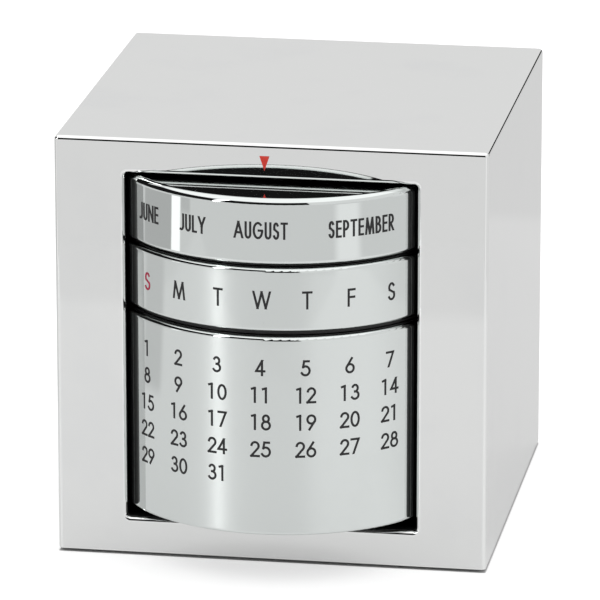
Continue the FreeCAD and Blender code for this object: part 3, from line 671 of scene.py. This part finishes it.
def slant(start, end):
    """A slanting stroke, cut level at both ends."""
    return ("slant", [start, end])


def arc(centre, radii, first, last, lead=(), tail=()):
    """Part of an ellipse, from one angle to another in degrees, with straight ends if wanted."""
    count = max(4, int(abs(last - first) / 15))
    points = list(lead)
    for step in range(count + 1):
        angle = math.radians(first + (last - first) * step / count)
        points.append((centre[0] + radii[0] * math.cos(angle), centre[1] + radii[1] * math.sin(angle)))
    return ("line", points + list(tail))


def bowl(low, high, width):
    """The bowl of a B, D, P or R: level, half round, level."""
    middle, radius = (low + high) / 2, (high - low) / 2
    flat = max(width - radius, 0.0)
    reach = width - flat
    return arc((flat, middle), (reach, radius), 90, -90, lead=[(0, high)], tail=[(0, low)])


LETTERS = {
    "A": (0.78, [slant((0, 0), (0.39, 1)), slant((0.78, 0), (0.39, 1)), line((0.13, 0.31), (0.65, 0.31))]),
    "B": (0.44, [line((0, 0), (0, 1)), bowl(0.54, 1, 0.37), bowl(0, 0.54, 0.44)]),
    "C": (0.76, [arc((0.5, 0.5), (0.5, 0.5), 58.7, 301.3)]),
    "D": (0.60, [line((0, 0), (0, 1)), bowl(0, 1, 0.60)]),
    "E": (0.38, [
        line((0, 0), (0, 1)), line((0, 1), (0.38, 1)), line((0, 0.53), (0.36, 0.53)), line((0, 0), (0.38, 0)),
    ]),
    "F": (0.38, [line((0, 0), (0, 1)), line((0, 1), (0.38, 1)), line((0, 0.53), (0.36, 0.53))]),
    "G": (0.84, [arc((0.42, 0.5), (0.42, 0.5), 50, 360, tail=[(0.50, 0.5)])]),
    "H": (0.56, [line((0, 0), (0, 1)), line((0.56, 0), (0.56, 1)), line((0, 0.53), (0.56, 0.53))]),
    "I": (0.00, [line((0, 0), (0, 1))]),
    "J": (0.30, [arc((0.06, 0.25), (0.24, 0.25), 0, -110, lead=[(0.30, 1)])]),
    "L": (0.35, [line((0, 0), (0, 1)), line((0, 0), (0.35, 0))]),
    "M": (0.80, [
        slant((0, 0), (0.12, 1)), slant((0.12, 1), (0.40, 0)),
        slant((0.40, 0), (0.68, 1)), slant((0.68, 1), (0.80, 0)),
    ]),
    "N": (0.62, [line((0, 0), (0, 1)), slant((0, 1), (0.62, 0)), line((0.62, 0), (0.62, 1))]),
    "O": (0.88, [arc((0.44, 0.5), (0.44, 0.5), 0, 360)]),
    "P": (0.42, [line((0, 0), (0, 1)), bowl(0.44, 1, 0.42)]),
    "R": (0.44, [line((0, 0), (0, 1)), bowl(0.46, 1, 0.42), slant((0.14, 0.46), (0.44, 0))]),
    "S": (0.41, [
        arc((0.205, 0.75), (0.175, 0.25), 30, 215),
        arc((0.205, 0.26), (0.205, 0.26), 35, -155),
        line((0.062, 0.607), (0.373, 0.409)),
    ]),
    "T": (0.50, [line((0, 1), (0.50, 1)), line((0.25, 0), (0.25, 1))]),
    "U": (0.46, [arc((0.23, 0.25), (0.23, 0.25), 180, 360, lead=[(0, 1)], tail=[(0.46, 1)])]),
    "V": (0.70, [slant((0, 1), (0.35, 0)), slant((0.35, 0), (0.70, 1))]),
    "W": (1.00, [
        slant((0, 1), (0.25, 0)), slant((0.25, 0), (0.5, 1)),
        slant((0.5, 1), (0.75, 0)), slant((0.75, 0), (1.0, 1)),
    ]),
    "Y": (0.62, [slant((0, 1), (0.31, 0.45)), slant((0.31, 0.45), (0.62, 1)), line((0.31, 0), (0.31, 0.45))]),
}
DIGITS = {
    "0": (0.54, [arc((0.27, 0.5), (0.27, 0.5), 0, 360)]),
    "1": (0.20, [line((0.0, 0.94), (0.2, 1.0)), line((0.2, 0), (0.2, 1))]),
    "2": (0.53, [arc((0.27, 0.73), (0.25, 0.27), 168, -38, tail=[(0.0, 0.0)]), line((0, 0), (0.53, 0))]),
    "3": (0.52, [
        arc((0.25, 0.765), (0.20, 0.235), 150, -90),
        arc((0.25, 0.265), (0.26, 0.265), 90, -150),
    ]),
    "4": (0.56, [line((0.40, 0), (0.40, 1)), slant((0.40, 1), (0.0, 0.27)), line((0, 0.27), (0.56, 0.27))]),
    "5": (0.53, [
        line((0.47, 1), (0.15, 1)),
        line((0.15, 1), (0.08, 0.58)),
        arc((0.24, 0.32), (0.29, 0.32), 122, -150),
    ]),
    "6": (0.54, [arc((0.27, 0.29), (0.27, 0.29), 0, 360), line((0.40, 1), (0.05, 0.44))]),
    "7": (0.53, [line((0, 1), (0.53, 1)), slant((0.53, 1), (0.16, 0))]),
    "8": (0.54, [arc((0.27, 0.77), (0.20, 0.23), 0, 360), arc((0.27, 0.28), (0.27, 0.28), 0, 360)]),
    "9": (0.54, [arc((0.27, 0.71), (0.27, 0.29), 0, 360), line((0.14, 0), (0.49, 0.56))]),
}
GLYPHS = {**LETTERS, **DIGITS}
print("glyphs drawn:", "".join(GLYPHS))

# %% [markdown]
# ## From strokes to a printed film
#
# Each stroke becomes a row of small four-sided plates and round joints. Where strokes cross, the
# plates overlap, so a constrained Delaunay triangulation merges them into one flat sheet: every
# triangle that lies in some plate is kept. The sheet is then wrapped round the ring and given a
# thickness of a few hundredths of a millimetre, as screen-printed ink has.

# %% Plates of a stroke
STEP = 0.5 * MM
JOINT_SIDES = 8


def split(start, end):
    """Points from start to end, no more than a step apart."""
    count = max(1, math.ceil((Vector(end) - Vector(start)).length / STEP))
    return [Vector(start).lerp(Vector(end), k / count) for k in range(count + 1)]


def line_plates(points, half):
    """Plates along a pen line: square ends, round joints."""
    points = [Vector(p) for p in points]
    closed = (points[0] - points[-1]).length < half / 10
    plates = []
    for number in range(len(points) - 1):
        start, end = points[number], points[number + 1]
        along = (end - start).normalized()
        if not closed and number == 0:
            start = start - along * half
        if not closed and number == len(points) - 2:
            end = end + along * half
        side = Vector((-along.y, along.x)) * half
        stops = split(start, end)
        plates += [[a - side, b - side, b + side, a + side] for a, b in zip(stops, stops[1:])]
    joints = points if closed else points[1:-1]
    for joint in joints:
        turn = [2 * math.pi * (k + 0.5) / JOINT_SIDES for k in range(JOINT_SIDES)]
        reach = half / math.cos(math.pi / JOINT_SIDES)
        plates.append([joint + Vector((math.cos(a), math.sin(a))) * reach for a in turn])
    return plates


def slant_plates(points, half):
    """Plates along a slanting stroke whose ends are cut level."""
    low, high = sorted((Vector(p) for p in points), key=lambda p: p.y)
    along = (high - low).normalized()
    grow = along * (half / along.y)
    side = Vector((half / along.y, 0))
    stops = split(low - grow, high + grow)
    return [[a - side, a + side, b + side, b - side] for a, b in zip(stops, stops[1:])]


# %% Words laid out along a line
def set_glyph(character, left, height, width_factor, half):
    """Plates of one glyph whose centre lines start at left, in metres, with its foot at 0."""
    plates = []
    for kind, points in GLYPHS[character][1]:
        scaled = [(left + x * height * width_factor, y * height) for x, y in points]
        plates += slant_plates(scaled, half) if kind == "slant" else line_plates(scaled, half)
    return plates


def set_word(word, cap, stroke, width_factor, gap):
    """Plates of a word that is centred on 0, and the word's width."""
    height = cap - stroke
    left = stroke / 2
    placed = []
    for character in word:
        placed.append((character, left))
        left += GLYPHS[character][0] * height * width_factor + stroke + gap
    width = left - stroke / 2 - gap
    plates = []
    for character, start in placed:
        plates += set_glyph(character, start - width / 2, height, width_factor, stroke / 2)
    return plates, width


def set_number(number, cap, stroke, advance):
    """Plates of a number in figures of equal advance, centred on 0."""
    text = str(number)
    height = cap - stroke
    plates = []
    for place_in_row, digit in enumerate(text):
        middle = (place_in_row - (len(text) - 1) / 2) * advance
        width = 0.0 if digit == "1" else GLYPHS[digit][0] * height
        shift = GLYPHS["1"][0] * height if digit == "1" else 0.0
        plates += set_glyph(digit, middle - width / 2 - shift, height, 1.0, stroke / 2)
    return plates


# %% Wrap the plates round a ring
INK_PROUD = 0.025 * MM
INK_SUNK = 0.02 * MM
WELD = 1e-7


def merge_plates(plates):
    """One flat sheet of triangles from overlapping plates."""
    points, faces = [], []
    for plate in plates:
        faces.append(list(range(len(points), len(points) + len(plate))))
        points += plate
    merged, _, triangles, _, _, origins = delaunay_2d_cdt(points, [], faces, 0, WELD)
    return merged, [t for t, origin in zip(triangles, origins) if origin]


def wrap(point, angle, height, radius):
    """A flat point of the lettering, on a cylinder about the rings' axis."""
    around = angle + point.x / ring_radius
    return (axis_x + radius * math.sin(around), axis_y - radius * math.cos(around), height + point.y)


def make_piece(mesh, name, material):
    """A closed bmesh becomes a piece of the scene with this material."""
    bmesh.ops.recalc_face_normals(mesh, faces=mesh.faces)
    open_edges = sum(1 for edge in mesh.edges if len(edge.link_faces) != 2)
    data = bpy.data.meshes.new(name)
    mesh.to_mesh(data)
    mesh.free()
    data.materials.append(material)
    piece = bpy.data.objects.new(name, data)
    bpy.context.scene.collection.objects.link(piece)
    print("%s: %d faces, %d open edges" % (name, len(data.polygons), open_edges))
    return piece


def print_on_ring(name, jobs, body, material):
    """One closed film of ink from (plates, angle, height of the foot) jobs."""
    mesh = bmesh.new()
    for plates, angle, height in jobs:
        flat, triangles = merge_plates(plates)
        used = sorted({v for t in triangles for v in t})
        top = {v: mesh.verts.new(wrap(flat[v], angle, height, ring_radius + INK_PROUD)) for v in used}
        under = {v: mesh.verts.new(wrap(flat[v], angle, height, ring_radius - INK_SUNK)) for v in used}
        edges = {}
        for a, b, c in triangles:
            mesh.faces.new((top[a], top[b], top[c]))
            mesh.faces.new((under[c], under[b], under[a]))
            for pair in ((a, b), (b, c), (c, a)):
                edges[pair] = True
        for a, b in edges:
            if (b, a) not in edges:
                mesh.faces.new((top[b], top[a], under[a], under[b]))
    piece = make_piece(mesh, name, material)
    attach(piece, body)


# %% [markdown]
# ## The calendar's markings
#
# The weekday ring carries thirteen initials, so that any day can stand over the first of the
# month. Seven columns of dates sit under seven of them, on the same angles. The twelve months go
# right round their ring.

# %% Weekday initials
STROKE = 0.37 * MM
COLUMN_TURN = math.radians(14.60)
FIRST_COLUMN = math.radians(-42.85)
WEEKDAYS = "SMTWTFSSMTWTF"
WEEKDAY_CAP = 3.0 * MM
weekday_foot = (weekday_low.z + weekday_high.z) / 2 - WEEKDAY_CAP / 2 + STROKE / 2
black_days, red_days = [], []
for place_in_week, initial in enumerate(WEEKDAYS):
    plates, _ = set_word(initial, WEEKDAY_CAP, STROKE, 1.0, 0)
    job = (plates, FIRST_COLUMN + place_in_week * COLUMN_TURN, weekday_foot)
    (red_days if place_in_week % 7 == 0 else black_days).append(job)
print_on_ring("weekday_initials", black_days, "weekday_ring", black_ink)
print_on_ring("sunday_initials", red_days, "weekday_ring", crimson_ink)

# %% Dates
DAYS = 31
DAYS_IN_ROW = 7
DATE_CAP = 2.7 * MM
DIGIT_ADVANCE = 1.79 * MM
TOP_ROW = 36.5 * MM
ROW_STEP = 4.55 * MM
DRUM_TURN = math.radians(-0.5)
dates = []
for day in range(1, DAYS + 1):
    row, column = divmod(day - 1, DAYS_IN_ROW)
    foot = TOP_ROW - row * ROW_STEP - DATE_CAP / 2 + STROKE / 2
    plates = set_number(day, DATE_CAP, STROKE, DIGIT_ADVANCE)
    dates.append((plates, FIRST_COLUMN + DRUM_TURN + column * COLUMN_TURN, foot))
print_on_ring("dates", dates, "date_drum", black_ink)

# %% Months
MONTHS = (
    "JANUARY", "FEBRUARY", "MARCH", "APRIL", "MAY", "JUNE",
    "JULY", "AUGUST", "SEPTEMBER", "OCTOBER", "NOVEMBER", "DECEMBER",
)
MONTH_CAP = 2.85 * MM
MONTH_WIDTH = 0.65
LETTER_GAP = 0.20 * MM
MONTH_HEIGHT = 59.3 * MM
SHOWN_MONTHS = {"JUNE": -42.0, "JULY": -22.8, "AUGUST": 0.6, "SEPTEMBER": 34.0}
words = {month: set_word(month, MONTH_CAP, STROKE, MONTH_WIDTH, LETTER_GAP) for month in MONTHS}
angles = {month: math.radians(angle) for month, angle in SHOWN_MONTHS.items()}
september = MONTHS.index("SEPTEMBER")
hidden = [MONTHS[(september + 1 + k) % len(MONTHS)] for k in range(len(MONTHS) - len(SHOWN_MONTHS))]
room_start = angles["SEPTEMBER"] + words["SEPTEMBER"][1] / ring_radius / 2
room_end = 2 * math.pi + angles["JUNE"] - words["JUNE"][1] / ring_radius / 2
taken = sum(words[month][1] for month in hidden) / ring_radius
space = (room_end - room_start - taken) / (len(hidden) + 1)
cursor = room_start
for month in hidden:
    half_turn = words[month][1] / ring_radius / 2
    angles[month] = cursor + space + half_turn
    cursor = angles[month] + half_turn
month_foot = MONTH_HEIGHT - MONTH_CAP / 2 + STROKE / 2
print_on_ring(
    "month_names", [(words[m][0], angles[m], month_foot) for m in MONTHS],
    "month_ring", black_ink,
)
for month in SHOWN_MONTHS:
    print("%s is %.1f mm wide" % (month, words[month][1] / MM))

# %% [markdown]
# ## Screws
#
# Four countersunk screws hold the base plate and two hold the top plate. The model's screws are
# plain, so these take their place, on the same spots and no larger: a head with a cross recess, a
# thread that winds round the shank, and a tapered end. The thread is a row of rings whose radius
# follows the winding.


# %% Screw pieces
HEAD_RADIUS = 1.6 * MM
SHANK_RADIUS = 1.0 * MM
SCREW_SIDES = 24
THREAD_PITCH = 0.8 * MM
THREAD_DEPTH = 0.26 * MM
RINGS_IN_PITCH = 6
CONE_HEIGHT = 0.6 * MM
RECESS_DEPTH = 0.8 * MM
RECESS_ARM = 0.85 * MM
RECESS_HALF_WIDTH = 0.2 * MM
RECESS_FOOT = 0.45
POINT_LENGTH = 1.4 * MM


def cross_outline(scale):
    """The twelve corners of the recess, in order round it."""
    a, w = RECESS_ARM * scale, RECESS_HALF_WIDTH * (0.4 + 0.6 * scale)
    return [
        (a, -w), (a, w), (w, w), (w, a), (-w, a), (-w, w),
        (-a, w), (-a, -w), (-w, -w), (-w, -a), (w, -a), (w, -w),
    ]


def add_screw(mesh, spot, face, length, way):
    """A screw whose head face lies at height face, and which runs up (way 1) or down (way -1)."""

    def vertex(x, y, depth):
        return mesh.verts.new((spot[0] + x, spot[1] + y, face + way * depth))

    def ring(depth, radius_at):
        row = []
        for number in range(SCREW_SIDES):
            angle = 2 * math.pi * number / SCREW_SIDES
            radius = radius_at(angle)
            row.append(vertex(radius * math.cos(angle), radius * math.sin(angle), depth))
        return row

    def bridge(first, second):
        for a, b, c, d in zip(first, first[1:] + first[:1], second[1:] + second[:1], second):
            mesh.faces.new((a, b, c, d))

    def thread_radius(depth):
        near_head = min(1.0, (depth - CONE_HEIGHT) / THREAD_PITCH)
        near_point = min(1.0, (length - depth) / POINT_LENGTH)

        def radius_at(angle):
            wave = 0.5 + 0.5 * math.cos(2 * math.pi * depth / THREAD_PITCH - angle)
            groove = THREAD_DEPTH * (1 - wave ** 2) * min(near_head, near_point)
            return (SHANK_RADIUS - groove) * (0.35 + 0.65 * near_point)

        return radius_at

    top = ring(0.0, lambda angle: HEAD_RADIUS)
    mouth = [vertex(x, y, 0.0) for x, y in cross_outline(1.0)]
    foot = [vertex(x, y, RECESS_DEPTH) for x, y in cross_outline(RECESS_FOOT)]
    flat = [Vector((v.co.x - spot[0], v.co.y - spot[1])) for v in top + mouth]
    outlines = [list(range(SCREW_SIDES)), list(range(SCREW_SIDES, len(flat)))]
    _, _, triangles, origins, _, sources = delaunay_2d_cdt(flat, [], outlines, 0, WELD)
    corners = top + mouth
    for triangle, source in zip(triangles, sources):
        if source == [0]:
            mesh.faces.new([corners[v] for v in triangle])
    bridge(mouth, foot)
    mesh.faces.new(foot)
    last = ring(CONE_HEIGHT, lambda angle: SHANK_RADIUS)
    bridge(top, last)
    steps = int((length - CONE_HEIGHT) / THREAD_PITCH * RINGS_IN_PITCH)
    for step in range(1, steps + 1):
        depth = CONE_HEIGHT + (length - CONE_HEIGHT) * step / steps
        row = ring(depth, thread_radius(depth))
        bridge(last, row)
        last = row
    mesh.faces.new(last)


def make_screws(name, node, face_is_low, way):
    """Screws at the corners of a CAD node's box, or at its two ends where it is one row."""
    low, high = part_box(node)
    rows = sorted({round(low.y + HEAD_RADIUS, 6), round(high.y - HEAD_RADIUS, 6)})
    face = low.z if face_is_low else high.z
    mesh = bmesh.new()
    for x in (low.x + HEAD_RADIUS, high.x - HEAD_RADIUS):
        for y in rows:
            add_screw(mesh, (x, y), face, high.z - low.z, way)
    piece = make_piece(mesh, name, steel)
    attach(piece, "case")
    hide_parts(node)


make_screws("base_screw_set", "base_screws", True, 1)
make_screws("top_screw_set", "top_plate_screws", False, -1)
